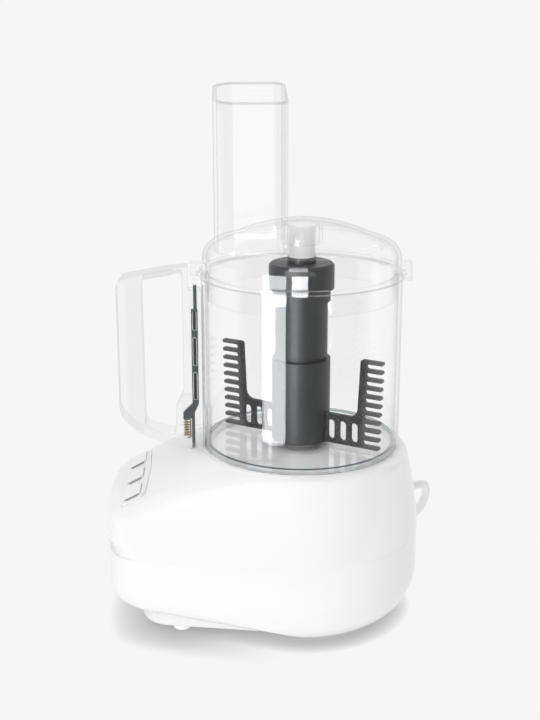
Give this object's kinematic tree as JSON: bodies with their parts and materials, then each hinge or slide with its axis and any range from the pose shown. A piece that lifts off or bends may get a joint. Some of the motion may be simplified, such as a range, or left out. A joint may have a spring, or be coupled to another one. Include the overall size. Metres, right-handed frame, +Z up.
{
  "type": "compact food processor",
  "caption": "compact food processor with a clear bowl and handle, a domed lid with a feed tube, a comb whisk on the drive spindle and push buttons on a sloping nose",
  "frame": {"origin": "on the floor under the middle of the motor base", "axes": "+Z up along the bowl axis, -Y towards the nose with the buttons, +X to the right of someone facing the rear from the front"},
  "size_m": [0.2605, 0.2304, 0.3501],
  "materials": {
    "housing": "glossy white",
    "plinth": "glossy off-white",
    "foot_rubber": "matt",
    "panel": "satin silver grey",
    "button": "glossy white",
    "board": "solder mask",
    "bracket": "die cast",
    "bearing": "sintered",
    "lamination": "stacked sheet",
    "winding": "lacquered wire",
    "fastener": "zinc plated",
    "spindle": "ground",
    "fan": "moulded",
    "seal": "matt blue grey",
    "clear": "clear",
    "rod": "moulded",
    "spring": "drawn wire",
    "pin": "moulded",
    "switch": "moulded",
    "whisk": "satin dark grey",
    "cap": "moulded",
    "lid_bearing": "moulded",
    "cord": "smooth",
    "tie": "woven",
    "blade": "rolled"
  },
  "bodies": {
    "base": {"upper_housing": "housing", "lower_housing": "housing", "base_plate": "plinth", "feet": "foot_rubber", "control_panel": "panel", "circuit_board": "board", "upper_bracket": "bracket", "lower_bracket": "bracket", "upper_bearing": "bearing", "lower_bearing": "bearing", "motor_stator": "lamination", "motor_windings": "winding", "motor_bolts": "fastener", "bracket_screws": "fastener", "shaft_seal": "seal", "bowl_seat_ring": "seal", "interlock_switch": "switch", "interlock_spring": "spring", "cord_gland": "cord", "cord_lead": "cord", "cord_coil": "cord", "cord_tie": "tie", "plug_body": "cord", "plug_blades": "blade"},
    "rotor": {"rotor_core": "lamination", "spindle": "spindle", "cooling_fan": "fan"},
    "button_left": {"button_left": "button"},
    "button_middle": {"button_middle": "button"},
    "button_right": {"button_right": "button"},
    "interlock_pin": {"interlock_pin": "pin"},
    "bowl": {"bowl": "clear", "handle": "clear", "push_rod_spring": "spring"},
    "push_rod": {"push_rod": "rod"},
    "whisk": {"whisk_hub": "whisk", "whisk_wing_right": "whisk", "whisk_wing_left": "whisk", "whisk_stem": "whisk", "drive_socket": "whisk", "whisk_collar": "whisk", "whisk_cap": "cap"},
    "lid_bearing": {"lid_bearing": "lid_bearing"},
    "lid": {"lid": "clear"}
  },
  "joints": [
    {"name": "motor_turn", "type": "hinge", "parent": "base", "child": "rotor", "pos_m": [0, 0.0245, 0.06], "axis": [0, 0, 1], "continuous": true},
    {"name": "button_left_press", "type": "slide", "parent": "base", "child": "button_left", "axis": [0, -0.457, 0.8895], "range_m": [-0.002, 0], "stiffness_N_per_m": 250},
    {"name": "button_middle_press", "type": "slide", "parent": "base", "child": "button_middle", "axis": [0, -0.457, 0.8895], "range_m": [-0.002, 0], "stiffness_N_per_m": 250},
    {"name": "button_right_press", "type": "slide", "parent": "base", "child": "button_right", "axis": [0, -0.457, 0.8895], "range_m": [-0.002, 0], "stiffness_N_per_m": 250},
    {"name": "bowl_lift", "type": "slide", "parent": "base", "child": "bowl", "axis": [0, 0, 1], "range_m": [0, 0.12]},
    {"name": "whisk_turn", "type": "hinge", "parent": "bowl", "child": "whisk", "pos_m": [0, 0.0245, 0.15], "axis": [0, 0, 1], "continuous": true},
    {"name": "lid_lift", "type": "slide", "parent": "bowl", "child": "lid_bearing", "axis": [0, 0, 1], "range_m": [0, 0.12]},
    {"name": "lid_turn", "type": "hinge", "parent": "lid_bearing", "child": "lid", "pos_m": [0, 0.0245, 0.255], "axis": [0, 0, 1], "range_deg": [0, 30]},
    {"name": "push_rod_slide", "type": "slide", "parent": "bowl", "child": "push_rod", "axis": [0, 0, 1], "range_m": [0, 0.004], "deforming": ["push_rod_spring"]},
    {"name": "interlock_pin_slide", "type": "slide", "parent": "base", "child": "interlock_pin", "axis": [0, 0, 1], "range_m": [0, 0.004], "deforming": ["interlock_spring"]}
  ],
  "couplings": [
    {"joint": "whisk_turn", "follows": "motor_turn", "ratio": 1},
    {"joint": "push_rod_slide", "follows": "lid_turn", "m_per_rad": 0.0076394},
    {"joint": "interlock_pin_slide", "follows": "lid_turn", "m_per_rad": 0.0076394}
  ]
}
